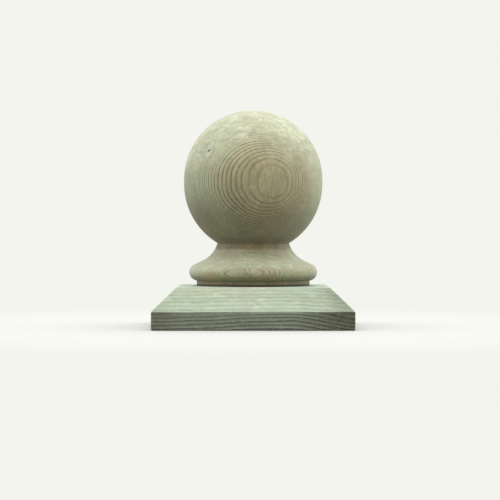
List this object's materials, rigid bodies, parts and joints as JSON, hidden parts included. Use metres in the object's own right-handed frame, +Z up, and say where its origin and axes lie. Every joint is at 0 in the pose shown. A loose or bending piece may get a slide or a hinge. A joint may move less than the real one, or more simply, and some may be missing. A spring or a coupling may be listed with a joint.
{
  "type": "fence post cap",
  "caption": "Square weathered timber post cap with sloped edges and a turned ball finial that unscrews from its seat on a dowel screw.",
  "frame": {"origin": "middle of the cap plate's underside, the face that sits on the post", "axes": "+Z up along the finial's axis; X and Y along the sides of the square plate, with the plate's grain along X"},
  "size_m": [0.135, 0.135, 0.1485],
  "materials": {
    "plate_timber": "sawn, pressure treated green",
    "zinc_steel": "zinc plated",
    "finial_timber": "turned, pressure treated green"
  },
  "bodies": {
    "plate": {"cap_plate": "plate_timber"},
    "screw": {"dowel_screw": "zinc_steel"},
    "finial": {"ball_finial": "finial_timber"}
  },
  "joints": [
    {"name": "finial_rise", "type": "slide", "parent": "plate", "child": "screw", "axis": [0, 0, 1], "range_m": [0, 0.028]},
    {"name": "finial_turn", "type": "hinge", "parent": "screw", "child": "finial", "pos_m": [0, 0, 0.0282], "axis": [0, 0, 1], "range_deg": [0, 2880]}
  ],
  "couplings": [
    {"joint": "finial_rise", "follows": "finial_turn", "m_per_rad": 0.00055704}
  ]
}
